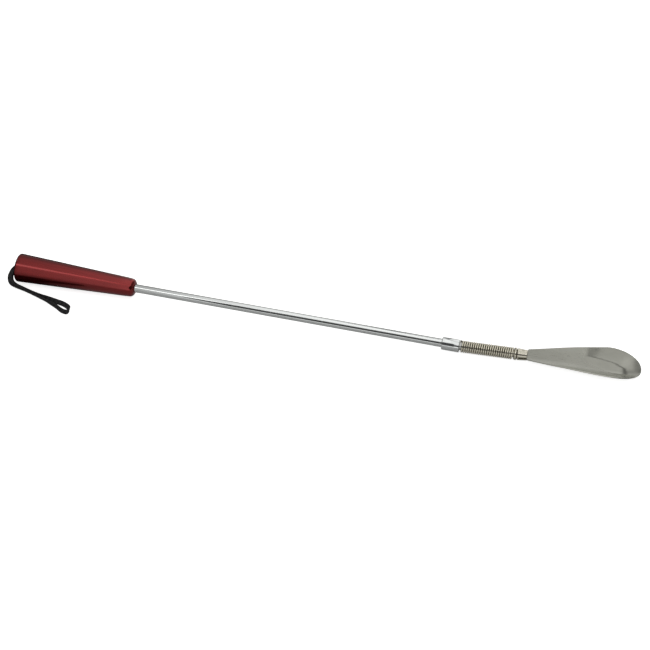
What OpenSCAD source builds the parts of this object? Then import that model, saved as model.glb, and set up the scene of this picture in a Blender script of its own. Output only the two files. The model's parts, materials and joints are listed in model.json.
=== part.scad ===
// Long shoehorn: a hollow tapered grip with a wrist strap, a straight tube, a ferrule, a tension
// spring as flexible joint, and a turned neck that holds a spoon-shaped blade by its tang.
// It lies on the butt's rim and on the neck's bead, with the blade's hollow facing up.
// X runs from the butt to the blade, Z is up, and the origin is the centre of the footprint.

/* [Grip] */
// Length of the grip
grip_l = 118.5; // [100:0.5:150]
// Diameter of the grip at its butt
butt_d = 27.6; // [26.6:0.1:32]
// Diameter of the grip at its front
front_d = 17.6; // [17:0.1:20]
// Wall thickness of the hollow grip
grip_wall = 2.6; // [2.3:0.1:2.8]
// Rounding of the butt's rim
butt_round = 1.9; // [1:0.1:2.2]
// Rounding of the grip's front
front_round = 4.4; // [3:0.1:4.6]
// Depth of the hollow around the tube in the grip's front
dimple_depth = 1.2; // [0.6:0.1:2]

/* [Shaft] */
// Distance from the butt to the front face of the ferrule
reach = 433; // [300:1:520]
// Outer diameter of the tube
tube_d = 8; // [7.6:0.1:8.4]
// Wall thickness of the tube
tube_wall = 0.8; // [0.6:0.1:1.2]
// Outer diameter of the ferrule
ferrule_d = 11.9; // [11:0.1:13]
// Length of the ferrule
ferrule_l = 16.5; // [14:0.5:20]

/* [Spring] */
// Number of coils
coils = 25; // [20:1:30]
// Distance from coil to coil
coil_pitch = 2; // [1.95:0.01:2.3]
// Diameter of the spring wire
wire_d = 1.8; // [1.5:0.05:1.9]
// Outer diameter of the spring
spring_d = 11.4; // [11.2:0.1:12]
// Sideways set of the spring and of all that lies beyond it, in degrees
neck_set = 3.5; // [-5:0.1:5]

/* [Neck] */
// Diameter of the bead
bead_d = 11.6; // [11:0.1:12.5]
// Length of the bead
bead_l = 3.4; // [3:0.1:4]
// Diameter of the neck behind the bead
neck_d = 11; // [10:0.1:11.2]
// Diameter of the neck at the blade
neck_end_d = 9.2; // [8.4:0.1:9.6]
// Length of the neck between the bead and the blade
neck_l = 9.4; // [9:0.1:14]

/* [Blade] */
// Length of the blade beyond the neck
blade_l = 104; // [90:1:130]
// Greatest width of the blade
blade_w = 39.3; // [32:0.1:42]
// Width of the blade at the neck
root_w = 13.8; // [12:0.1:18]
// Length of the rounded nose
nose_l = 30; // [22:1:34]
// Radius of the blade's hollow across its width
hollow_r = 28; // [26:1:40]
// Thickness of the sheet
sheet_t = 1.2; // [0.8:0.1:1.5]
// Depth of the dip along the blade's bottom
dip = 2.5; // [1:0.1:3]
// Height of the blade's tip above the neck's axis
tip_rise = 0.7; // [0:0.1:2]

/* [Strap] */
// Width of the lace
lace_w = 5; // [4:0.1:5.1]
// Thickness of the lace
lace_t = 1; // [0.6:0.1:1.1]

/* [Hidden] */
$fn = 72;

fit = 0.05;                 // gap on each side between pieces that sit in one another
spill = 1;                  // how far a cutting tool runs past the face that it cuts

// Inside the grip
cap_t = 2.5;
cap_r = butt_d / 2 - butt_round;
cap_plug_r = 10.2;
cap_plug_l = 6.5;
slot_w = 5.8;
slot_h = 3.4;
knot_s = 9;
knot_l = 7;
knot_r = 4.5;
anchor_s = 30;
anchor_l = 18;
tube_start = 33;
pin_s = 40;
pin_d = 2.5;
pin_l = 16;
collar_l = 13;
dimple_r = 5.6;

// Tube's end, ferrule and studs
tube_end = reach - 8;
tube_bore_r = tube_d / 2 - tube_wall;
stud_tail = 14;             // length of the rear stud inside the tube
stud_grip = 8;              // length of each stud inside the spring
spring_gap = 0.15;          // gap between the studs and the spring around them
stud_r = spring_d / 2 - wire_d - spring_gap;
edge = 0.4;                 // chamfer on turned edges

coil_start = 43;            // where the wire starts and ends, in degrees from the top to the back

// The neck's own frame starts at the ferrule's front face
spring_l = coils * coil_pitch;
neck_start = spring_l + bead_l;
neck_end = neck_start + neck_l;
slot_l = 8;
slot_gap = 1.7;
tang_l = 7.5;
tang_w = 6.4;
tang_pin_x = neck_end - 4;
tang_pin_d = 2;
pin_spare = 0.2;            // how much longer the pin is than the neck is thick

// Blade's course, measured from the neck's end
widest = blade_l - nose_l;
shank_curve = 1.2;          // exponent of the shank's widening
nose_power = 2.15;          // exponent of the nose's rounded outline
dip_start = 30;
dip_end = 78;
shank_steps = 16;
nose_steps = 16;
nose_last = 88;             // the nose's outline ends in a tiny flat at this angle
shoulder = 0.7;             // cut on the shoulders where the tang meets the shank
across = 14;

// How the object lies: the butt's rim and the bead both touch the ground
taper = (butt_d - front_d) / 2 / grip_l;
rim_r = butt_d / 2 - taper * butt_round - butt_round * sqrt(1 + taper * taper);
bead_round = bead_l / 2;
bead_s = reach + (spring_l + bead_round) * cos(neck_set) - butt_round;
rim_to_bead_r = bead_d / 2 - bead_round - rim_r;
lie_tilt = asin((butt_round - bead_round) / norm([bead_s, rim_to_bead_r]))
    - atan2(rim_to_bead_r, bead_s);
axis_h = butt_round * (1 + sin(lie_tilt)) + rim_r * cos(lie_tilt);

// Footprint: its middle becomes the origin
tip_x = (reach + (neck_end + blade_l) * cos(neck_set)) * cos(lie_tilt) + tip_rise * sin(lie_tilt);
butt_x = -(butt_d / 2 - butt_round) * sin(lie_tilt);
edge_reach = sheet_t * 0.35; // how far the sheet's lower edge stands out beyond its middle
far_y = max([for (t = [widest - 10:1:widest + 20])
    (neck_end + t) * sin(neck_set) + (half_width(t) + edge_reach) * cos(neck_set)]);
near_y = -(rim_r + butt_round);
middle = [(tip_x + butt_x) / 2, (far_y + near_y) / 2];

// Route of the lace from the knot out through the butt, around the loop and back:
// [x, y, z, lean of the lace's width away from upright in degrees]
LACE = [
    [-290, -7.4, 12.8, 90], [-300, -7.4, 12.9, 90], [-302.8, -8, 12, 90], [-304.6, -10.4, 10, 85],
    [-305.4, -14.4, 6.8, 75], [-303.4, -18.4, 4, 50], [-298.2, -21, 2.8, 10], [-288, -23.9, 2.6, -10],
    [-278.5, -27, 2.5, -10], [-269.3, -30, 2.5, 10], [-260.5, -31.9, 2.4, 35], [-252, -33.5, 2.1, 47],
    [-245, -35.2, 2.1, 47], [-239, -38.4, 2.3, 45], [-236.5, -42.2, 2.5, 15], [-238, -45.8, 2.6, -15],
    [-243, -44.8, 2.6, -25], [-249.5, -41, 2.6, -15], [-256.6, -37.7, 2.6, 0], [-263.4, -34.8, 2.7, 15],
    [-269.8, -32.3, 2.8, 15], [-278.9, -29, 3, 15], [-288.3, -25.9, 3.1, 15], [-298.4, -23, 3.8, -5],
    [-303.8, -20.2, 5.3, -50], [-306, -15.6, 8.2, -75], [-305, -11.2, 11.5, -85],
    [-302.8, -8.4, 13.9, -90], [-300, -7.4, 14.6, -90], [-290, -7.4, 14.5, -90]
];
lace_steps = 3;             // rings between one point of the route and the next
lace_corner = 0.3;          // size of the lace's cut corners

// ---- functions ----

// Outer radius of the grip at a distance from its butt
function grip_r(s) = butt_d / 2 - taper * s;

// Points of an arc around a centre, from one angle to another
function arc(c, r, from, to, n = 10) =
    [for (i = [0:n]) let (a = from + (to - from) * i / n) [c[0] + r * cos(a), c[1] + r * sin(a)]];

function smooth(u) = let (v = min(max(u, 0), 1)) v * v * (3 - 2 * v);

// Half width of the blade at a distance from the neck's end
function half_width(t) = t < widest
    ? root_w / 2 + (blade_w - root_w) / 2 * (1 - pow(1 - t / widest, shank_curve))
    : blade_w / 2 * pow(1 - pow(min((t - widest) / nose_l, 1), nose_power), 1 / nose_power);

// Height of the blade's middle line
function bottom_z(t) = t < dip_end
    ? -dip * smooth((t - dip_start) / (dip_end - dip_start))
    : -dip + (dip + tip_rise) * pow((t - dip_end) / (blade_l - dip_end), 2);

// Stations along the blade as [distance, half width]: the tang, its shoulders, the shank, the nose
function stations() = concat(
    [[-tang_l, tang_w / 2], [-shoulder, tang_w / 2], [0, root_w / 2 - shoulder]],
    [for (i = [0:shank_steps - 1]) let (t = shoulder + (widest - shoulder) * i / shank_steps)
        [t, half_width(t)]],
    [for (i = [0:nose_steps]) let (a = nose_last * i / nose_steps)
        [widest + nose_l * pow(sin(a), 2 / nose_power), blade_w / 2 * pow(cos(a), 2 / nose_power)]]);

// A point of the sheet: side is 0.5 on its lower face and -0.5 on its upper face
function sheet_point(t, w, u, side) =
    let (a = asin(w / hollow_r) * u, r = hollow_r + side * sheet_t)
    [neck_end + t, r * sin(a), bottom_z(max(t, 0)) + hollow_r - r * cos(a)];

// Faces that close a stack of rings of n points, both ends included
function skin(rings, n) = concat(
    [[for (j = [n - 1:-1:0]) j]],
    [for (i = [0:rings - 2], j = [0:n - 1]) let (k = (j + 1) % n)
        each [[i * n + j, i * n + k, (i + 1) * n + k], [i * n + j, (i + 1) * n + k, (i + 1) * n + j]]],
    [[for (j = [0:n - 1]) (rings - 1) * n + j]]);

// Smooth curve through the points of a route
function curve(p, steps) = [for (i = [0:len(p) - 2], k = [0:steps - 1])
    let (a = p[max(i - 1, 0)], b = p[i], c = p[i + 1], d = p[min(i + 2, len(p) - 1)], u = k / steps)
    ((2 * b) + (c - a) * u + (2 * a - 5 * b + 4 * c - d) * u * u
        + (3 * b - a - 3 * c + d) * u * u * u) / 2];

function unit(v) = v / norm(v);

// Ring of eight points around the lace, standing upright and leaned by the fourth number
function lace_ring(p, along) =
    let (flat = unit([-along[1], along[0], 0]), lean = p[3],
        wide = unit(cross(along, flat)) * cos(lean) + flat * sin(lean),
        thick = cross(wide, along), w = lace_w / 2, t = lace_t / 2, c = lace_corner,
        corners = [[w, t - c], [w - c, t], [c - w, t], [-w, t - c],
            [-w, c - t], [c - w, -t], [w - c, -t], [w, c - t]])
    [for (q = corners) [p[0], p[1], p[2]] + wide * q[0] + thick * q[1]];

function xyz(p) = [p[0], p[1], p[2]];

// ---- places ----

// The shaft's frame: X along the axis from the butt's face
module on_shaft(s = 0) {
    translate([-middle[0], -middle[1], axis_h]) rotate([0, lie_tilt, 0]) translate([s, 0, 0]) children();
}

// The neck's frame: X along the axis from the ferrule's front face
module on_neck(s = 0) {
    on_shaft(reach) rotate([0, 0, neck_set]) translate([s, 0, 0]) children();
}

// Turns an outline given as [distance, radius] around the X axis
module turned(outline) {
    rotate([90, 0, 90]) rotate_extrude() polygon([for (p = outline) [p[1], p[0]]]);
}

module crosswise_hole(x, d, l) {
    translate([x, 0, 0]) rotate([90, 0, 0]) cylinder(d = d, h = l, center = true);
}

// ---- grip ----

module handle_grip() {
    front_r = grip_r(grip_l);
    collar_back = grip_l - collar_l;
    bore_r = tube_d / 2 + fit;
    lean = atan(taper);
    lip = asin((dimple_r - front_r + front_round) / front_round);
    color("brown") on_shaft() turned(concat(
        [[cap_t, cap_r + fit], [0, cap_r + fit]],
        arc([butt_round, rim_r], butt_round, 179, 90 - lean),
        arc([grip_l - front_round, front_r - front_round], front_round, 90 - lean, lip),
        [[grip_l - dimple_depth, bore_r], [collar_back, bore_r],
            [collar_back, grip_r(collar_back) - grip_wall], [cap_t, grip_r(cap_t) - grip_wall]]));
}

module butt_cap() {
    color("brown") on_shaft() difference() {
        turned([[0, 0], [0, cap_r], [cap_t, cap_r], [cap_t, cap_plug_r],
            [cap_plug_l, cap_plug_r], [cap_plug_l, 0]]);
        translate([-spill, -slot_w / 2, -slot_h / 2]) cube([cap_plug_l + 2 * spill, slot_w, slot_h]);
    }
}

module tube_anchor() {
    back_r = grip_r(anchor_s) - grip_wall - fit;
    face_r = grip_r(anchor_s + anchor_l) - grip_wall - fit;
    color("dimgray") on_shaft() difference() {
        turned([[anchor_s, 0], [anchor_s, back_r], [anchor_s + anchor_l, face_r],
            [anchor_s + anchor_l, tube_d / 2 + fit], [tube_start - fit, tube_d / 2 + fit],
            [tube_start - fit, 0]]);
        crosswise_hole(pin_s, pin_d + 2 * fit, butt_d);
    }
}

module anchor_pin() {
    color("silver") on_shaft() crosswise_hole(pin_s, pin_d, pin_l);
}

// ---- shaft ----

module shaft_tube() {
    color("lightgray") on_shaft() difference() {
        turned([[tube_start, tube_bore_r], [tube_start, tube_d / 2], [tube_end, tube_d / 2],
            [tube_end, tube_bore_r]]);
        crosswise_hole(pin_s, pin_d + 2 * fit, butt_d);
    }
}

module ferrule() {
    r = ferrule_d / 2;
    back = reach - ferrule_l;
    bore_r = tube_d / 2 + fit;
    color("lightgray") on_shaft() turned([[back, bore_r], [back, r - edge], [back + edge, r],
        [reach - edge, r], [reach, r - edge], [reach, bore_r]]);
}

module spring_stud() {
    color("silver") union() {
        on_shaft() turned([[tube_end - stud_tail, 0], [tube_end - stud_tail, tube_bore_r - fit],
            [tube_end + fit, tube_bore_r - fit], [tube_end + fit, tube_d / 2], [reach, tube_d / 2],
            [reach, 0]]);
        on_neck() turned([[-edge, 0], [-edge, stud_r], [stud_grip - edge, stud_r],
            [stud_grip, stud_r - edge], [stud_grip, 0]]);
    }
}

// ---- spring and neck ----

module spring() {
    mean_r = (spring_d - wire_d) / 2;
    steps = 16;
    sides = 8;
    turns = coils - 1;
    rear_gap = fit + spring_d / 2 * max(sin(neck_set), 0);
    lead = (spring_l - wire_d - rear_gap - fit) / turns;
    rings = turns * steps + 1;
    ring = [for (i = [0:rings - 1], j = [0:sides - 1])
        let (a = coil_start + 360 * i / steps, b = -360 * j / sides, r = mean_r + wire_d / 2 * cos(b))
        [rear_gap + wire_d / 2 + lead * i / steps + wire_d / 2 * sin(b), r * sin(a), r * cos(a)]];
    color("gainsboro") on_neck() polyhedron(ring, skin(rings, sides), convexity = 10);
}

module neck_stud() {
    bead_r = bead_d / 2 - bead_round;
    color("gainsboro") on_neck() difference() {
        turned(concat(
            [[spring_l - stud_grip, 0], [spring_l - stud_grip, stud_r - edge],
                [spring_l - stud_grip + edge, stud_r], [spring_l, stud_r]],
            arc([spring_l + bead_round, bead_r], bead_round, 180, 0),
            [[neck_start + edge, neck_d / 2], [neck_end - edge, neck_end_d / 2 + edge / 2],
                [neck_end, neck_end_d / 2 - edge / 2], [neck_end, 0]]));
        translate([neck_end - slot_l, -bead_d, -slot_gap / 2]) cube([slot_l + spill, 2 * bead_d, slot_gap]);
        tang_hole();
    }
}

module tang_hole() {
    translate([tang_pin_x, 0, 0]) cylinder(d = tang_pin_d + 2 * fit, h = 2 * bead_d, center = true);
}

module tang_pin() {
    length = neck_end_d + pin_spare;
    color("silver") on_neck(tang_pin_x) cylinder(d = tang_pin_d, h = length, center = true);
}

module blade() {
    along = stations();
    rim = concat([for (j = [0:across]) [2 * j / across - 1, 0.5]], [for (j = [across:-1:0])
        [2 * j / across - 1, -0.5]]);
    points = [for (s = along, q = rim) sheet_point(s[0], s[1], q[0], q[1])];
    color("silver") on_neck() difference() {
        polyhedron(points, skin(len(along), len(rim)), convexity = 6);
        tang_hole();
    }
}

// ---- strap ----

module strap_knot() {
    round_r = 2;
    color("black") on_shaft(knot_s) turned(concat([[0, 0]],
        arc([round_r, knot_r - round_r], round_r, 180, 90, 5),
        arc([knot_l - round_r, knot_r - round_r], round_r, 90, 0, 5), [[knot_l, 0]]));
}

module wrist_strap() {
    line = concat(curve(LACE, lace_steps), [LACE[len(LACE) - 1]]);
    last = len(line) - 1;
    points = [for (i = [0:last])
        each lace_ring(line[i], unit(xyz(line[min(i + 1, last)]) - xyz(line[max(i - 1, 0)])))];
    color("black") polyhedron(points, skin(last + 1, 8), convexity = 6);
}

handle_grip();
butt_cap();
tube_anchor();
anchor_pin();
shaft_tube();
ferrule();
spring_stud();
spring();
neck_stud();
tang_pin();
blade();
strap_knot();
wrist_strap();
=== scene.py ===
"""Looks of the long shoehorn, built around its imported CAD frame. Metres, in the frame's own axes."""
import json
from math import asin, atan, cos, pi, radians, sin, sqrt, tau

import bmesh
import bpy
from mathutils import Matrix, Vector


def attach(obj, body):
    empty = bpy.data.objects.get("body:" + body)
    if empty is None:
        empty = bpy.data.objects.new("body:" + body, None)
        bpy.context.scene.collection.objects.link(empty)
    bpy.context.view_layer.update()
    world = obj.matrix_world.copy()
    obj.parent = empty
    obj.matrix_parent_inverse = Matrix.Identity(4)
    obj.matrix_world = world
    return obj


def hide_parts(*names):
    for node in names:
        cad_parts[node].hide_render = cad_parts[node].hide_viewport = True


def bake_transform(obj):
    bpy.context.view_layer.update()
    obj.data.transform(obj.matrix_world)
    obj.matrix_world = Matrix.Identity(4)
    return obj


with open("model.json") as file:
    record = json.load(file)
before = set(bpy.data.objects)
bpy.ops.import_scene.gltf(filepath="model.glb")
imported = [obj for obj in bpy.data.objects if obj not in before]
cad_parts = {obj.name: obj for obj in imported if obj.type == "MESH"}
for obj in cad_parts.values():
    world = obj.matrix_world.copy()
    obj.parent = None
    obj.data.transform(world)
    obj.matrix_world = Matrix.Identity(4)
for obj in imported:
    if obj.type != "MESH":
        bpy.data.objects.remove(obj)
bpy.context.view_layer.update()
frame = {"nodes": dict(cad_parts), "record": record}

MM = 0.001
GAP = 0.05 * MM                 # clearance between two pieces that fit together

# ---- the two straight axes, from the frame's joints ----

JOINTS = {joint["name"]: joint for joint in frame["record"]["behaviour"]["joints"]}
BEND_UP = JOINTS["neck_bend_up_down"]
BEND_SIDE = JOINTS["neck_bend_sideways"]
FIRST_HINGE = 16.5 * MM         # distance from the ferrule's face to the first hinge
REACH = 433 * MM                # distance from the butt to the ferrule's face
UP = Vector(BEND_SIDE["axis"]).normalized()
NECK_X = (Vector(BEND_SIDE["pos_m"]) - Vector(BEND_UP["pos_m"])).normalized()
NECK_START = Vector(BEND_UP["pos_m"]) - NECK_X * FIRST_HINGE
SHAFT_X = Vector((UP.z, 0, -UP.x))
BUTT = NECK_START - SHAFT_X * REACH


def placed(origin, along):
    """Matrix of a local frame: X along the given axis, Z up out of the blade's hollow."""
    across = UP.cross(along)
    turn = Matrix((along, across, UP)).transposed().to_4x4()
    return Matrix.Translation(origin) @ turn


SHAFT = placed(BUTT, SHAFT_X)
NECK = placed(NECK_START, NECK_X)

# ---- camera ----

AZIMUTH = radians(13.83)
ELEVATION = radians(42.6)
DISTANCE = 1.59
LOOK_AT = Vector((0.0061, -0.0109, 0.0083))
LENS = 94.15                    # focal length and sensor width in millimetres
SENSOR = 36


def make_camera():
    """The camera, at the photo's angle."""
    data = bpy.data.cameras.new("camera")
    data.lens = LENS
    data.sensor_width = SENSOR
    camera = bpy.data.objects.new("camera", data)
    bpy.context.scene.collection.objects.link(camera)
    back = Vector((sin(AZIMUTH) * cos(ELEVATION), -cos(AZIMUTH) * cos(ELEVATION), sin(ELEVATION)))
    camera.location = LOOK_AT + back * DISTANCE
    camera.rotation_euler = (-back).to_track_quat("-Z", "Y").to_euler()
    bpy.context.scene.camera = camera


make_camera()

# ---- mesh helpers ----

CREASE = radians(40)            # edges that turn more than this stay sharp
LATHE_SEGMENTS = 128


def mesh_piece(name, points, faces, body, finish):
    """A smooth-shaded mesh object from points in the frame, riding on a body if one is given."""
    mesh = bpy.data.meshes.new(name)
    mesh.from_pydata([tuple(p) for p in points], [], faces)
    mesh.validate()
    shape = bmesh.new()
    shape.from_mesh(mesh)
    bmesh.ops.recalc_face_normals(shape, faces=shape.faces)
    shape.to_mesh(mesh)
    shape.free()
    mesh.shade_smooth()
    mesh.set_sharp_from_angle(angle=CREASE)
    piece = bpy.data.objects.new(name, mesh)
    bpy.context.scene.collection.objects.link(piece)
    mesh.materials.append(finish)
    if body:
        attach(piece, body)
    return piece


def tube_faces(rings, sides, closed=False):
    """Quads between rings of points, with both ends capped, or joined end to end if closed."""
    faces = []
    last = rings if closed else rings - 1
    for i in range(last):
        a = i * sides
        b = (i + 1) % rings * sides
        for j in range(sides):
            k = (j + 1) % sides
            faces.append((a + j, a + k, b + k, b + j))
    if not closed:
        faces.append(tuple(range(sides)))
        faces.append(tuple((rings - 1) * sides + j for j in range(sides)))
    return faces


def arc(s, r, radius, start, end, steps):
    """Outline points on an arc around (s, r), with angles in degrees from the +s direction."""
    angles = [radians(start + (end - start) * i / steps) for i in range(steps + 1)]
    return [(s + radius * cos(a), r + radius * sin(a)) for a in angles]


def lathe(name, outline, place, body, finish):
    """A ring turned around the local X axis from a closed outline of (distance, radius) points."""
    points = []
    for k in range(LATHE_SEGMENTS):
        a = tau * k / LATHE_SEGMENTS
        points += [place @ Vector((s, r * cos(a), r * sin(a))) for s, r in outline]
    faces = tube_faces(LATHE_SEGMENTS, len(outline), closed=True)
    return mesh_piece(name, points, faces, body, finish)


# ---- node helpers ----


def new_material(name):
    """A new material, its node tree and its shader node."""
    material = bpy.data.materials.new(name)
    material.use_nodes = True
    return material, material.node_tree, material.node_tree.nodes["Principled BSDF"]


def add(tree, kind, **values):
    """A new node, with values for its inputs or, where no input has that name, its settings."""
    node = tree.nodes.new(kind)
    for key, value in values.items():
        if key in node.inputs:
            node.inputs[key].default_value = value
        else:
            setattr(node, key, value)
    return node


def local_coordinates(tree, place, stretch):
    """Coordinates along, across and up a straight piece, each divided by its own stretch in metres."""
    source = add(tree, "ShaderNodeTexCoord")
    mapping = add(tree, "ShaderNodeMapping", vector_type="TEXTURE")
    mapping.inputs["Location"].default_value = place.translation
    mapping.inputs["Rotation"].default_value = place.to_euler()
    mapping.inputs["Scale"].default_value = stretch
    tree.links.new(source.outputs["Object"], mapping.inputs["Vector"])
    return mapping.outputs["Vector"]


def noise(tree, vector, scale=1.0, detail=3.0):
    """Cloudy noise, mostly between 0.3 and 0.7."""
    node = add(tree, "ShaderNodeTexNoise", Scale=scale, Detail=detail)
    tree.links.new(vector, node.inputs["Vector"])
    return node.outputs["Fac"]


def spread(tree, value, low, high, start=0.3, end=0.7):
    """A number that goes evenly from low to high while the value goes from start to end."""
    node = add(tree, "ShaderNodeMapRange")
    node.inputs["From Min"].default_value = start
    node.inputs["From Max"].default_value = end
    node.inputs["To Min"].default_value = low
    node.inputs["To Max"].default_value = high
    tree.links.new(value, node.inputs["Value"])
    return node.outputs["Result"]


def two_colours(tree, value, dark, light, start=0.3, end=0.7):
    """A colour that goes from dark to light while the value goes from start to end."""
    ramp = add(tree, "ShaderNodeValToRGB")
    ramp.color_ramp.elements[0].position = start
    ramp.color_ramp.elements[1].position = end
    ramp.color_ramp.elements[0].color = (*dark, 1)
    ramp.color_ramp.elements[1].color = (*light, 1)
    tree.links.new(value, ramp.inputs["Fac"])
    return ramp.outputs["Color"]


def bump(tree, height, distance, below=None):
    """A surface raised by height times a distance in metres, on top of another bump if given."""
    node = add(tree, "ShaderNodeBump", Distance=distance, Strength=1.0)
    tree.links.new(height, node.inputs["Height"])
    if below:
        tree.links.new(below, node.inputs["Normal"])
    return node.outputs["Normal"]


def feed(tree, value, socket):
    """Links another node's output to a socket, or sets the socket to a plain value."""
    if isinstance(value, bpy.types.NodeSocket):
        tree.links.new(value, socket)
    else:
        socket.default_value = value


def calc(tree, operation, *values):
    """The result of a sum with numbers or outputs of other nodes."""
    node = add(tree, "ShaderNodeMath", operation=operation)
    for socket, value in zip(node.inputs, values):
        feed(tree, value, socket)
    return node.outputs["Value"]


def mixed(tree, kind, factor, a, b):
    """Goes from a to b, numbers or colours, while the factor goes from 0 to 1."""
    node = add(tree, "ShaderNodeMix", data_type=kind)
    for name, value in (("Factor", factor), ("A", a), ("B", b)):
        feed(tree, value, node.inputs[name])
    return node.outputs["Result"]


def dimmed(tree, light, where, share):
    """The light, less a share of it where another value is 1."""
    return calc(tree, "MULTIPLY", light, calc(tree, "SUBTRACT", 1.0, calc(tree, "MULTIPLY", where, share)))


# ---- materials ----


def lacquered_grip():
    """Deep red metallic lacquer with a clear coat, faint lengthwise grain and handling marks."""
    material, tree, shader = new_material("grip_lacquer")
    grain = noise(tree, local_coordinates(tree, SHAFT, (0.03, 0.0012, 0.0012)), detail=5)
    cloud = noise(tree, local_coordinates(tree, SHAFT, (0.02, 0.008, 0.008)))
    fine = noise(tree, local_coordinates(tree, SHAFT, (0.0006, 0.0006, 0.0006)))
    tone = two_colours(tree, grain, (0.20, 0.003, 0.003), (0.255, 0.006, 0.006))
    tree.links.new(tone, shader.inputs["Base Color"])
    tree.links.new(spread(tree, cloud, 0.17, 0.23), shader.inputs["Roughness"])
    ripple = bump(tree, cloud, 0.00004)
    tree.links.new(bump(tree, fine, 0.000004, below=ripple), shader.inputs["Normal"])
    shader.inputs["Metallic"].default_value = 0.9
    shader.inputs["Coat Weight"].default_value = 0.75
    shader.inputs["Coat Roughness"].default_value = 0.14
    return material


def plated(name, place, colour, rough, smudge, drawn=0.02):
    """Plated metal with faint drawing lines along it and slightly duller patches."""
    material, tree, shader = new_material(name)
    patches = noise(tree, local_coordinates(tree, place, (0.03, 0.006, 0.006)))
    lines = noise(tree, local_coordinates(tree, place, (drawn, 0.0003, 0.0003)), detail=2)
    tint = two_colours(tree, patches, tuple(0.94 * c for c in colour), colour)
    tree.links.new(tint, shader.inputs["Base Color"])
    tree.links.new(spread(tree, patches, rough, rough + smudge), shader.inputs["Roughness"])
    tree.links.new(bump(tree, lines, 0.000002), shader.inputs["Normal"])
    shader.inputs["Metallic"].default_value = 1.0
    return material


def coiled_wire():
    """Nickel-plated wire with painted shade in the grooves: its colour goes darker from the outer crest
    towards the coil's inside. Its UV map runs in turns along it, and from 0 on the coil's inside to 1 on
    its outer crest, so the painted shade stays on the wire when the coil bends."""
    material, tree, shader = new_material("spring_nickel_painted_groove_shade")
    wire = add(tree, "ShaderNodeTexCoord")
    place = add(tree, "ShaderNodeSeparateXYZ")
    tree.links.new(wire.outputs["UV"], place.inputs["Vector"])
    # painted shade: the colour darkens from the wire's outer crest into the grooves between its turns
    crest = spread(tree, place.outputs["Y"], 0.0, 1.0, 0.7, 0.95)
    tint = two_colours(tree, crest, (0.30, 0.275, 0.21), (0.90, 0.85, 0.71), 0.0, 1.0)
    tree.links.new(tint, shader.inputs["Base Color"])
    patches = noise(tree, wire.outputs["UV"], scale=1.5)
    tree.links.new(spread(tree, patches, 0.16, 0.26), shader.inputs["Roughness"])
    tree.links.new(bump(tree, patches, 0.00001), shader.inputs["Normal"])
    shader.inputs["Metallic"].default_value = 1.0
    return material


POLISH_START = 113 * MM         # where the worn part of the blade starts, from the ferrule's face
POLISH_SLANT = 0.46             # how steeply its lower edge falls away towards the nose
POLISH_EDGE = 60 * MM           # how far across that edge would lie if carried back to the ferrule
POLISH_FADE = 5 * MM            # width of its soft borders
# painted light: the blade's colour is made lighter towards its lower edge, between these two distances
# across
PAINTED_LIGHT_START = -3 * MM             # where the blade starts to get lighter towards its lower edge
PAINTED_LIGHT_END = -15 * MM              # and where it is lightest


def worn_part(tree, x, y):
    """1 on the blade's worn part and 0 on the rest, with soft borders."""
    beyond = spread(tree, x, 0.0, 1.0, POLISH_START, POLISH_START + POLISH_FADE)
    slant = calc(tree, "MULTIPLY_ADD", x, POLISH_SLANT, y)
    above = spread(tree, slant, 0.0, 1.0, POLISH_EDGE - POLISH_FADE, POLISH_EDGE)
    return calc(tree, "MULTIPLY", beyond, above)


def satin_blade():
    """Grey steel sheet: satin along the shank with hair-fine lines, worn bright at the nose, and with
    painted light along its lower edge, where its colour goes lighter."""
    material, tree, shader = new_material("blade_satin_painted_rim_light")
    lines = noise(tree, local_coordinates(tree, NECK, (0.012, 0.00025, 0.00025)))
    cloud = noise(tree, local_coordinates(tree, NECK, (0.03, 0.012, 0.012)))
    place = add(tree, "ShaderNodeSeparateXYZ")
    tree.links.new(local_coordinates(tree, NECK, (1, 1, 1)), place.inputs["Vector"])
    x, y = place.outputs["X"], place.outputs["Y"]
    # painted light: the colour goes lighter towards the blade's lower edge
    painted_rim_light = spread(tree, y, 1.0, 0.0, PAINTED_LIGHT_END, PAINTED_LIGHT_START)
    grey = two_colours(tree, cloud, (0.33, 0.33, 0.292), (0.373, 0.371, 0.332))
    tree.links.new(mixed(tree, "RGBA", painted_rim_light, grey, (0.62, 0.62, 0.56, 1)), shader.inputs["Base Color"])
    satin = spread(tree, lines, 0.27, 0.30)
    polished = spread(tree, lines, 0.06, 0.10)
    rough = mixed(tree, "FLOAT", worn_part(tree, x, y), satin, polished)
    tree.links.new(rough, shader.inputs["Roughness"])
    tree.links.new(bump(tree, lines, 0.0000002), shader.inputs["Normal"])
    shader.inputs["Metallic"].default_value = 0.65
    return material


def moulded(name, colour):
    """Plain moulded plastic with a fine grained skin."""
    material, tree, shader = new_material(name)
    skin = noise(tree, local_coordinates(tree, SHAFT, (0.0005, 0.0005, 0.0005)))
    tone = two_colours(tree, skin, colour, tuple(1.3 * c for c in colour))
    tree.links.new(tone, shader.inputs["Base Color"])
    tree.links.new(bump(tree, skin, 0.00002), shader.inputs["Normal"])
    shader.inputs["Roughness"].default_value = 0.5
    return material


THREAD = 0.6 * MM               # distance between two threads of the lace
WAVE_STEP = 20                  # a wave texture has one wave in 1 / (20 * its scale)


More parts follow.
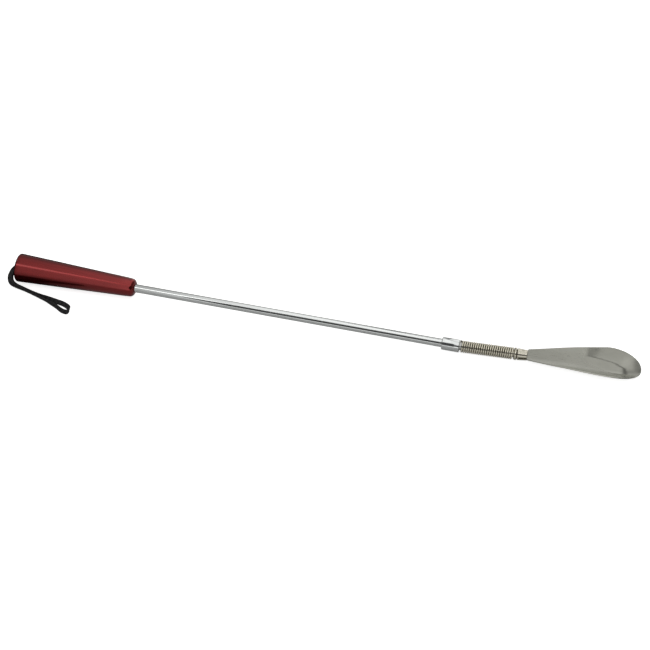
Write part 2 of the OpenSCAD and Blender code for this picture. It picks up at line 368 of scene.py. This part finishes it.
def woven_lace(thickness):
    """Black flat lace: a herringbone weave along it, from the lace's own UV map in metres."""
    material, tree, shader = new_material("lace_weave")
    uv = add(tree, "ShaderNodeTexCoord")
    waves = []
    for slant in (35, -35):
        mapping = add(tree, "ShaderNodeMapping")
        mapping.inputs["Rotation"].default_value = (0, 0, radians(slant))
        tree.links.new(uv.outputs["UV"], mapping.inputs["Vector"])
        wave = add(tree, "ShaderNodeTexWave", Scale=1 / (WAVE_STEP * THREAD), Distortion=0.4)
        tree.links.new(mapping.outputs["Vector"], wave.inputs["Vector"])
        waves.append(wave.outputs["Fac"])
    weave = calc(tree, "MAXIMUM", *waves)
    tone = two_colours(tree, weave, (0.004, 0.004, 0.0045), (0.022, 0.022, 0.024), 0.2, 0.9)
    tree.links.new(tone, shader.inputs["Base Color"])
    tree.links.new(bump(tree, weave, thickness * 0.12), shader.inputs["Normal"])
    shader.inputs["Roughness"].default_value = 0.8
    shader.inputs["Sheen Weight"].default_value = 0.15
    shader.inputs["Sheen Roughness"].default_value = 0.4
    return material


CHROME = plated("tube_chrome", SHAFT, (0.79, 0.81, 0.81), 0.08, 0.05)
WIRE = coiled_wire()
NICKEL = plated("neck_nickel", NECK, (0.62, 0.59, 0.50), 0.12, 0.06, drawn=0.001)
STEEL = plated("turned_steel", SHAFT, (0.55, 0.55, 0.53), 0.3, 0.1, drawn=0.0005)
LACQUER = lacquered_grip()
BLADE_STEEL = satin_blade()
ANCHOR_PLASTIC = moulded("anchor_plastic", (0.03, 0.03, 0.032))

# ---- wrist strap ----

LACE_WIDTH = 5.0 * MM
LACE_THICKNESS = 1.0 * MM
# The lace's route in millimetres, as the CAD has it: x, y, z and the lean of its width in degrees.
LACE = [
    (-290, -7.4, 12.8, 90), (-300, -7.4, 12.9, 90), (-302.8, -8, 12, 90), (-304.6, -10.4, 10, 85),
    (-305.4, -14.4, 6.8, 75), (-303.4, -18.4, 4, 50), (-298.2, -21, 2.8, 10), (-288, -23.9, 2.6, -10),
    (-278.5, -27, 2.5, -10), (-269.3, -30, 2.5, 10), (-260.5, -31.9, 2.4, 35), (-252, -33.5, 2.1, 47),
    (-245, -35.2, 2.1, 47), (-239, -38.4, 2.3, 45), (-236.5, -42.2, 2.5, 15), (-238, -45.8, 2.6, -15),
    (-243, -44.8, 2.6, -25), (-249.5, -41, 2.6, -15), (-256.6, -37.7, 2.6, 0), (-263.4, -34.8, 2.7, 15),
    (-269.8, -32.3, 2.8, 15), (-278.9, -29, 3, 15), (-288.3, -25.9, 3.1, 15), (-298.4, -23, 3.8, -5),
    (-303.8, -20.2, 5.3, -50), (-306, -15.6, 8.2, -75), (-305, -11.2, 11.5, -85),
    (-302.8, -8.4, 13.9, -90), (-300, -7.4, 14.6, -90), (-290, -7.4, 14.5, -90)]


def curve_through(route, steps):
    """Points of a smooth curve through a route, each as a vector of its x, y and z, and its lean."""
    line = []
    for i in range(len(route) - 1):
        a, b, c, d = (Vector(route[min(max(i + n, 0), len(route) - 1)]) for n in (-1, 0, 1, 2))
        for k in range(steps):
            u = k / steps
            line.append((2 * b + (c - a) * u + (2 * a - 5 * b + 4 * c - d) * u ** 2
                         + (3 * b - a - 3 * c + d) * u ** 3) / 2)
    line.append(Vector(route[-1]))
    return line


def wrist_strap():
    """The flat lace along its route, with a UV map in metres along it and across it."""
    line = curve_through(LACE, 12)
    path = [p.xyz * MM for p in line]
    half = LACE_WIDTH / 2
    edge = LACE_THICKNESS / 2
    rounded = arc(half - edge, 0, edge, -90, 90, 6)
    section = rounded + [(-w, -t) for w, t in rounded]
    points = []
    for i, p in enumerate(line):
        along = (path[min(i + 1, len(path) - 1)] - path[max(i - 1, 0)]).normalized()
        flat = Vector((-along.y, along.x, 0)).normalized()
        lean = radians(p.w)
        wide = along.cross(flat) * cos(lean) + flat * sin(lean)
        thick = wide.cross(along)
        points += [path[i] + wide * w + thick * t for w, t in section]
    sides = len(section)
    piece = mesh_piece("strap_lace", points, tube_faces(len(path), sides), "shaft",
                       woven_lace(LACE_THICKNESS))
    far = [0]
    for a, b in zip(path, path[1:]):
        far.append(far[-1] + (b - a).length)
    layer = piece.data.uv_layers.new(name="lace")
    for loop in piece.data.loops:
        ring, side = divmod(loop.vertex_index, sides)
        layer.data[loop.index].uv = (far[ring], section[side][0])
    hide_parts("wrist_strap")
    return piece


STRAP = wrist_strap()

# ---- grip, tube and ferrule ----

GRIP_LENGTH = 118.5 * MM
BUTT_R = 13.8 * MM
FRONT_R = 8.8 * MM
TAPER = (BUTT_R - FRONT_R) / GRIP_LENGTH
BUTT_ROUND = 1.9 * MM
FRONT_ROUND = 4.4 * MM
CAP_DEPTH = 2.5 * MM
CAP_SEAT_R = BUTT_R - BUTT_ROUND + GAP
CAP_SEAT_BACK = 0.25 * MM
TUBE_R = 4.0 * MM
TUBE_WALL = 0.8 * MM
TUBE_BACK = 33 * MM
TUBE_FRONT = REACH - 8 * MM
BORE_R = TUBE_R + GAP
WALL = 2.6 * MM
COLLAR = 13 * MM
DIMPLE_R = 5.6 * MM
DIMPLE_DEPTH = 1.2 * MM


def grip_radius(s):
    """Radius of the grip's cone at a distance from its butt."""
    return BUTT_R - TAPER * s


def grip():
    """The hollow tapered grip, from the cap's seat over the outside to the bore for the tube."""
    slope = atan(TAPER) * 180 / pi
    rim_r = BUTT_R - TAPER * BUTT_ROUND - BUTT_ROUND * sqrt(1 + TAPER ** 2)
    collar_back = GRIP_LENGTH - COLLAR
    straight = [(s, grip_radius(s)) for s in [GRIP_LENGTH * n / 24 for n in range(1, 23)]]
    outline = [(CAP_DEPTH, CAP_SEAT_R), (CAP_SEAT_BACK, CAP_SEAT_R)]
    outline += arc(BUTT_ROUND, rim_r, BUTT_ROUND, 170, 90 - slope, 10)
    outline += straight
    lip = asin((DIMPLE_R - FRONT_R + FRONT_ROUND) / FRONT_ROUND) * 180 / pi
    outline += arc(GRIP_LENGTH - FRONT_ROUND, FRONT_R - FRONT_ROUND, FRONT_ROUND, 90 - slope, lip, 14)
    outline += [(GRIP_LENGTH - DIMPLE_DEPTH, BORE_R), (collar_back, BORE_R),
                (collar_back, grip_radius(collar_back) - WALL),
                (CAP_DEPTH, grip_radius(CAP_DEPTH) - WALL)]
    piece = lathe("grip_body", outline, SHAFT, "shaft", LACQUER)
    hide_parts("handle_grip")


def tube():
    """The long tube between grip and ferrule."""
    steps = 40
    inner = TUBE_R - TUBE_WALL
    outside = [(TUBE_BACK + (TUBE_FRONT - TUBE_BACK) * n / steps, TUBE_R) for n in range(steps + 1)]
    outline = outside + [(TUBE_FRONT, inner), (TUBE_BACK, inner)]
    piece = lathe("tube", outline, SHAFT, "shaft", CHROME)
    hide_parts("shaft_tube")


def ferrule():
    """The sleeve at the tube's front, with both of its edges rounded."""
    length = 16.5 * MM
    r = 5.95 * MM
    edge = 0.7 * MM
    back = REACH - length
    outline = [(back, BORE_R)]
    outline += arc(back + edge, r - edge, edge, 180, 90, 6)
    outline += arc(REACH - edge, r - edge, edge, 90, 0, 6)
    outline += [(REACH, BORE_R)]
    piece = lathe("ferrule_sleeve", outline, SHAFT, "shaft", CHROME)
    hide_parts("ferrule")


# ---- spring ----

COILS = 25
PITCH = 2.0 * MM
WIRE_R = 0.9 * MM
COIL_R = 4.8 * MM
COIL_START = radians(43)
REAR_GAP = GAP + (COIL_R + WIRE_R) * UP.dot(SHAFT_X.cross(NECK_X))


def spring_half(name, first, last):
    """Turns first to last of the coil."""
    per_turn = 48
    sides = 14
    rings = int((last - first) * per_turn) + 1
    lead = (COILS * PITCH - 2 * WIRE_R - REAR_GAP - GAP) / (COILS - 1)
    points = []
    for i in range(rings):
        turn = first + i / per_turn
        a = COIL_START + tau * turn
        middle = REAR_GAP + WIRE_R + lead * turn
        for j in range(sides):
            b = -tau * j / sides
            r = COIL_R + WIRE_R * cos(b)
            points.append(NECK @ Vector((middle + WIRE_R * sin(b), r * sin(a), r * cos(a))))
    piece = mesh_piece(name, points, tube_faces(rings, sides), None, WIRE)
    layer = piece.data.uv_layers.new(name="wire")
    for loop in piece.data.loops:
        ring, side = divmod(loop.vertex_index, sides)
        layer.data[loop.index].uv = (ring / per_turn, (1 + cos(tau * side / sides)) / 2)
    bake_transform(piece)
    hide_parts("spring")


def spring():
    """The coil in two halves, because a piece can bend between two bodies only."""
    turns = COILS - 1
    halfway = turns / 2
    spring_half("spring_rear", 0, halfway)
    spring_half("spring_front", halfway, turns)


# ---- blade ----

NECK_END = 62.8 * MM
BLADE_LENGTH = 104 * MM
HALF_WIDTH = 19.65 * MM
ROOT_HALF = 6.9 * MM
NOSE = 30 * MM
HOLLOW_R = 28 * MM
SHEET = 1.2 * MM
DIP = 2.5 * MM
TIP_RISE = 0.7 * MM
DIP_START = 30 * MM
DIP_END = 78 * MM
NOSE_POWER = 2.15
WIDEST = BLADE_LENGTH - NOSE
SHANK_START = 0.9 * MM
SHANK_POWER = 1.2               # how early the shank widens
TANG_LENGTH = 7.5 * MM
TANG_HALF = 3.2 * MM
SHOULDER = 0.6 * MM             # where the tang starts to widen, back from the neck's end
SHOULDER_HALF = 6.2 * MM
EDGE_ROUND = 0.4 * MM
BLADE_CREASE = radians(50)


def smooth(u):
    """Goes softly from 0 to 1 while u does."""
    v = min(max(u, 0), 1)
    return v * v * (3 - 2 * v)


def bottom_height(t):
    """Height of the blade's middle line, t beyond the neck's end."""
    if t < DIP_END:
        return -DIP * smooth((t - DIP_START) / (DIP_END - DIP_START))
    return -DIP + (DIP + TIP_RISE) * ((t - DIP_END) / (BLADE_LENGTH - DIP_END)) ** 2


def blade_stations():
    """Pairs of distance and half width: the tang, its shoulders, the shank and the rounded nose."""
    tang = [(-TANG_LENGTH, TANG_HALF), (-SHOULDER, TANG_HALF)]
    shoulders = [(0.0, SHOULDER_HALF), (0.35 * MM, ROOT_HALF)]
    shank = []
    for i in range(60):
        t = SHANK_START + (WIDEST - SHANK_START) * i / 60
        widened = 1 - (1 - t / WIDEST) ** SHANK_POWER
        shank.append((t, ROOT_HALF + (HALF_WIDTH - ROOT_HALF) * widened))
    nose = []
    for i in range(45):
        a = radians(89 * i / 44)
        nose.append((WIDEST + NOSE * sin(a) ** (2 / NOSE_POWER), HALF_WIDTH * cos(a) ** (2 / NOSE_POWER)))
    return tang + shoulders + shank + nose


def blade():
    """A sheet bent to one radius across and dipped along its length, then thickened."""
    across = 36
    stations = blade_stations()
    points = []
    for t, half in stations:
        for j in range(across + 1):
            a = asin(half / HOLLOW_R) * (2 * j / across - 1)
            height = bottom_height(max(t, 0)) + HOLLOW_R * (1 - cos(a))
            points.append(NECK @ Vector((NECK_END + t, HOLLOW_R * sin(a), height)))
    wide = across + 1
    faces = []
    for i in range(len(stations) - 1):
        for j in range(across):
            faces.append((i * wide + j, i * wide + j + 1, (i + 1) * wide + j + 1, (i + 1) * wide + j))
    piece = mesh_piece("blade_sheet", points, faces, None, BLADE_STEEL)
    thick = piece.modifiers.new("thickness", "SOLIDIFY")
    thick.thickness = SHEET
    thick.offset = 0
    rounded = piece.modifiers.new("rounded_edge", "BEVEL")
    rounded.width = EDGE_ROUND
    rounded.segments = 3
    rounded.limit_method = "ANGLE"
    rounded.angle_limit = BLADE_CREASE
    bake_modifiers(piece)
    piece.data.shade_smooth()
    piece.data.set_sharp_from_angle(angle=BLADE_CREASE)
    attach(piece, "blade_end")
    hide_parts("blade")


def bake_modifiers(piece):
    """Applies the piece's modifiers to its mesh."""
    graph = bpy.context.evaluated_depsgraph_get()
    shaped = bpy.data.meshes.new_from_object(piece.evaluated_get(graph))
    piece.modifiers.clear()
    piece.data = shaped


grip()
tube()
ferrule()
spring()
blade()

# ---- CAD pieces that stay ----


def dress(node, material):
    """Gives a carried-over CAD piece its material."""
    piece = frame["nodes"][node]
    for slot in piece.material_slots:
        slot.material = material


dress("butt_cap", LACQUER)
dress("tube_anchor", ANCHOR_PLASTIC)
dress("anchor_pin", STEEL)
dress("spring_stud", STEEL)
dress("neck_stud", NICKEL)
dress("tang_pin", NICKEL)
dress("strap_knot", STRAP.data.materials[0])

# ---- floor and light ----

FLOOR_HALF = 14.0               # half its side
FLOOR_LEVEL = -0.1 * MM
FLOOR_GREY = 0.66               # the floor in reflections
FLOOR_PALE = 0.9                # and beside the blade
# painted shadow: a dark patch on the floor under the grip, hidden from the camera
PAINTED_SHADOW_DARK = 0.95               # share taken off it under the grip
FLOOR_SEEN = 0.95               # its colour and glow for the camera
FLOOR_GLOW = 0.82
PALE_X = (0.17, 0.22)           # where it goes from grey to pale
PAINTED_SHADOW_X = (-0.28, -0.225)       # where its dark patch ends along the grip
PAINTED_SHADOW_Y = (-0.085, -0.055)      # and starts in front of it


def floor_paint():
    """White and glowing to the camera. To all else it is grey, with a painted shadow: dark in a patch
    under the grip that shows as the grip's dark lower band."""
    material, tree, shader = new_material("floor_pale_painted_shadow")
    rays = add(tree, "ShaderNodeLightPath")
    where = add(tree, "ShaderNodeTexCoord")
    place = add(tree, "ShaderNodeSeparateXYZ")
    tree.links.new(where.outputs["Object"], place.inputs["Vector"])
    x, y = place.outputs["X"], place.outputs["Y"]
    grey = spread(tree, x, FLOOR_GREY, FLOOR_PALE, *PALE_X)
    # painted shadow under the grip, for every ray but the camera's
    under_grip = spread(tree, x, 1.0, 0.0, *PAINTED_SHADOW_X)
    close = spread(tree, y, 0.0, 1.0, *PAINTED_SHADOW_Y)
    mirrored = dimmed(tree, grey, calc(tree, "MULTIPLY", under_grip, close), PAINTED_SHADOW_DARK)
    seen = mixed(tree, "FLOAT", rays.outputs["Is Camera Ray"], mirrored, FLOOR_SEEN)
    colour = add(tree, "ShaderNodeCombineColor")
    for channel in ("Red", "Green", "Blue"):
        tree.links.new(seen, colour.inputs[channel])
    tree.links.new(colour.outputs["Color"], shader.inputs["Base Color"])
    glow = spread(tree, rays.outputs["Is Camera Ray"], 0.0, FLOOR_GLOW, 0, 1)
    tree.links.new(glow, shader.inputs["Emission Strength"])
    shader.inputs["Emission Color"].default_value = (1, 1, 1, 1)
    shader.inputs["Roughness"].default_value = 1.0
    shader.inputs["Specular IOR Level"].default_value = 0.0
    return material


def white_floor():
    """A large pale floor, just below the object."""
    mesh = bpy.data.meshes.new("floor")
    signs = ((-1, -1), (1, -1), (1, 1), (-1, 1))
    corners = [(FLOOR_HALF * x, FLOOR_HALF * y, FLOOR_LEVEL) for x, y in signs]
    mesh.from_pydata(corners, [], [(0, 1, 2, 3)])
    mesh.materials.append(floor_paint())
    floor = bpy.data.objects.new("floor", mesh)
    bpy.context.scene.collection.objects.link(floor)


CARD_HEIGHT = 0.15              # from the tube's line, on the camera's side
CARD_LOW = -0.095               # its two long edges
CARD_HIGH = 0.050
TIP_LOW = -0.030                # and its short back edge
TIP_HIGH = 0.010
CARD_BACK = 0.130               # where it starts, is at its widest and ends, from the butt
CARD_WIDE = 0.175
CARD_FRONT = 0.425
CARD_GLOW = 0.06


def dark_card():
    """A dark card above the tube, seen only in reflections: the dark line along the tube is its image."""
    corners = [(CARD_BACK, TIP_LOW), (CARD_WIDE, CARD_LOW), (CARD_FRONT, CARD_LOW),
               (CARD_FRONT, CARD_HIGH), (CARD_WIDE, CARD_HIGH), (CARD_BACK, TIP_HIGH)]
    outward = Vector((0, -cos(ELEVATION), sin(ELEVATION)))
    upward = Vector((0, sin(ELEVATION), cos(ELEVATION)))
    points = [tuple(SHAFT @ (Vector((s, 0, 0)) + outward * CARD_HEIGHT + upward * w)) for s, w in corners]
    mesh = bpy.data.meshes.new("dark_card")
    mesh.from_pydata(points, [], [range(len(corners))])
    card = bpy.data.objects.new("dark_card", mesh)
    bpy.context.scene.collection.objects.link(card)
    material, tree, shader = new_material("card_dark")
    shader.inputs["Base Color"].default_value = (0.01, 0.01, 0.01, 1)
    shader.inputs["Specular IOR Level"].default_value = 0.0
    shader.inputs["Emission Color"].default_value = (1, 1, 1, 1)
    shader.inputs["Emission Strength"].default_value = CARD_GLOW
    mesh.materials.append(material)
    card.visible_camera = False
    card.visible_diffuse = False
    card.visible_shadow = False


# The light tent. Its parts are placed by two numbers: over, the angle in degrees up from the front
# and over to the back, and x, the direction's share along X. A pair is where a soft edge starts and
# ends. Four numbers are where a band starts, is full, stops being full and ends.
GRIP_DIM = 0.42                 # the tent where the grip mirrors it, against 1 elsewhere
GRIP_X = (-0.275, -0.19)
TOP_GLOW = 0.15                 # more light overhead for the front half of the tube
TOP_OVER = (70, 85, 110, 130)
TOP_X = (-0.20, -0.14, -0.09, -0.05)
LOW_DARK = 0.42                 # share of light taken off low at the back
LOW_OVER = (125, 152)
LOW_X = (-0.11, -0.06)
FRONT_DARK = 0.93               # share taken off by dark cloth at the front, which has a gap along X
FRONT_OVER = (14, 22, 43, 50)
GAP_BACK_X = (-0.55, -0.45)
GAP_FRONT_X = (-0.06, -0.03)
END_LIGHT = 0.2                 # what is left of the tent beyond the butt and the blade
BUTT_END_X = (-0.80, -0.50)
NOSE_END_X = (0.36, 0.60)
STRIP_LAMP = 2.0                # lamp that draws the streak along the grip
STRIP_OVER = (54, 62, 64, 72)
STRIP_X = (-0.48, -0.40, -0.24, -0.19)
CROSS_LAMP = 0.9                # lamp for the grip's rounded front
CROSS_OVER = (48, 56, 100, 115)
CROSS_X = (0.21, 0.24, 0.30, 0.34)
SEAM_DARK = 0.82                # share taken off by the seam
SEAM_OVER = (45, 52)            # where it starts
SEAM_HALF = (0.010, 0.024)      # its half width, up to which it is full and at which it ends
SEAM_THIN = 2.2                 # how many times thinner it is in the tent's front half
THIN_OVER = (88, 104)
# The seam's bends: where each starts and ends, and what it adds to the seam's x before and after it
SEAM_BENDS = ((70, 97, 0.010, 0.0), (96, 114, 0.178, 0.0), (108, 134, 0.0, -0.12), (150, 180, 0.0, 0.035))


def step(tree, value, start, end, low=0.0, high=1.0):
    """A number that goes softly from low to high while the value goes from start to end."""
    node = add(tree, "ShaderNodeMapRange", interpolation_type="SMOOTHSTEP")
    tree.links.new(value, node.inputs["Value"])
    for name, number in (("From Min", start), ("From Max", end), ("To Min", low), ("To Max", high)):
        node.inputs[name].default_value = number
    return node.outputs["Result"]


def band(tree, value, start, full, less, end):
    """1 from full to less, and 0 before start and after end."""
    return calc(tree, "MULTIPLY", step(tree, value, start, full), step(tree, value, less, end, 1.0, 0.0))


def patch(tree, over, x, over_band, x_band):
    """1 in a soft-edged patch of the tent, and 0 around it."""
    return calc(tree, "MULTIPLY", band(tree, over, *over_band), band(tree, x, *x_band))


def tent_cloth(tree, over, x):
    """The tent without its lamps: bright cloth, with darker parts that shape the reflections."""
    light = step(tree, x, *GRIP_X, GRIP_DIM, 1.0)
    light = calc(tree, "MULTIPLY_ADD", patch(tree, over, x, TOP_OVER, TOP_X), TOP_GLOW, light)
    low_back = calc(tree, "MULTIPLY", step(tree, over, *LOW_OVER), step(tree, x, *LOW_X, 1.0, 0.0))
    light = dimmed(tree, light, low_back, LOW_DARK)
    beside_gap = calc(tree, "ADD", step(tree, x, *GAP_BACK_X, 1.0, 0.0), step(tree, x, *GAP_FRONT_X))
    front = calc(tree, "MULTIPLY", band(tree, over, *FRONT_OVER), beside_gap)
    light = dimmed(tree, light, front, FRONT_DARK)
    butt_end = step(tree, x, *BUTT_END_X, END_LIGHT, 1.0)
    nose_end = step(tree, x, *NOSE_END_X, 1.0, END_LIGHT)
    return calc(tree, "MULTIPLY", light, calc(tree, "MULTIPLY", butt_end, nose_end))


def with_lamps(tree, over, x, light):
    """The light with two strip lamps above the front: one along the grip, one across its front."""
    light = calc(tree, "MULTIPLY_ADD", patch(tree, over, x, STRIP_OVER, STRIP_X), STRIP_LAMP, light)
    return calc(tree, "MULTIPLY_ADD", patch(tree, over, x, CROSS_OVER, CROSS_X), CROSS_LAMP, light)


def seam_line(tree, over, x):
    """1 on a seam between two cloths, which winds over the back of the tent and shows as a line in
    the blade."""
    seam_x = 0.0
    for start, end, before, after in SEAM_BENDS:
        seam_x = calc(tree, "ADD", seam_x, step(tree, over, start, end, before, after))
    aside = calc(tree, "ABSOLUTE", calc(tree, "SUBTRACT", x, seam_x))
    aside = calc(tree, "MULTIPLY", aside, step(tree, over, *THIN_OVER, SEAM_THIN, 1.0))
    return calc(tree, "MULTIPLY", step(tree, aside, *SEAM_HALF, 1.0, 0.0), step(tree, over, *SEAM_OVER))


def studio_light():
    """The light tent around the object. The camera sees plain white in its place."""
    world = bpy.data.worlds.new("studio")
    bpy.context.scene.world = world
    world.use_nodes = True
    tree = world.node_tree
    direction = add(tree, "ShaderNodeTexCoord")
    parts = add(tree, "ShaderNodeSeparateXYZ")
    tree.links.new(direction.outputs["Generated"], parts.inputs["Vector"])
    x, y, z = (parts.outputs[axis] for axis in "XYZ")
    over = calc(tree, "ARCTAN2", z, calc(tree, "MULTIPLY", y, -1.0))
    over = calc(tree, "MULTIPLY", over, 180 / pi)
    light = with_lamps(tree, over, x, tent_cloth(tree, over, x))
    light = dimmed(tree, light, seam_line(tree, over, x), SEAM_DARK)
    rays = add(tree, "ShaderNodeLightPath")
    shader = tree.nodes["Background"]
    seen = mixed(tree, "FLOAT", rays.outputs["Is Camera Ray"], light, 1.0)
    tree.links.new(seen, shader.inputs["Strength"])
    shader.inputs["Color"].default_value = (1.0, 1.0, 0.985, 1)


white_floor()
dark_card()
studio_light()
bpy.context.scene.view_settings.view_transform = "Standard"
